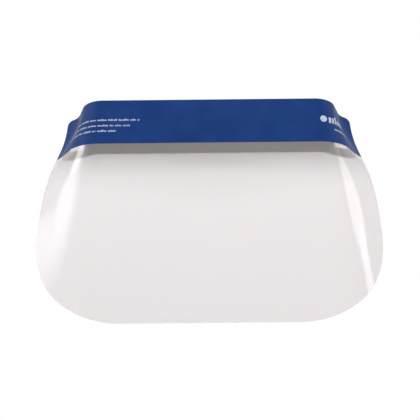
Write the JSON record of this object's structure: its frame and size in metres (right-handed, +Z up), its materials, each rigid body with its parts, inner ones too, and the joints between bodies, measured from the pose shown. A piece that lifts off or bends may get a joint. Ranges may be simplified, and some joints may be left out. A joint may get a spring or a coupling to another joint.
{
  "type": "face shield",
  "caption": "Disposable face shield: a clear bent film visor with a blue brow band, a foam forehead pad and an elastic head strap that stretches back.",
  "frame": {"origin": "centre of the forehead pad's rear face, where the pad meets the forehead", "axes": "as worn: +X to the viewer's right, -Y to the front, +Y towards the head, +Z up"},
  "size_m": [0.3206, 0.0666, 0.22],
  "materials": {
    "clear_film": "clear glossy polyester film",
    "band_print": "semi-gloss dark blue print",
    "foam": "open-cell foam",
    "tape": "double-sided tape",
    "elastic": "knitted elastic",
    "hot_melt": "hot-melt adhesive"
  },
  "bodies": {
    "shield": {"visor_film": "clear_film", "brow_band": "band_print", "foam_pad": "foam", "pad_tape": "tape", "strap_left": "elastic", "strap_right": "elastic", "strap_bond_left": "hot_melt", "strap_bond_right": "hot_melt"},
    "strap_back": {"strap_center": "elastic"}
  },
  "joints": [
    {"name": "strap_stretch", "type": "slide", "parent": "shield", "child": "strap_back", "axis": [0, 1, 0], "range_m": [0, 0.16], "stiffness_N_per_m": 40, "deforming": ["strap_left", "strap_right"]}
  ]
}
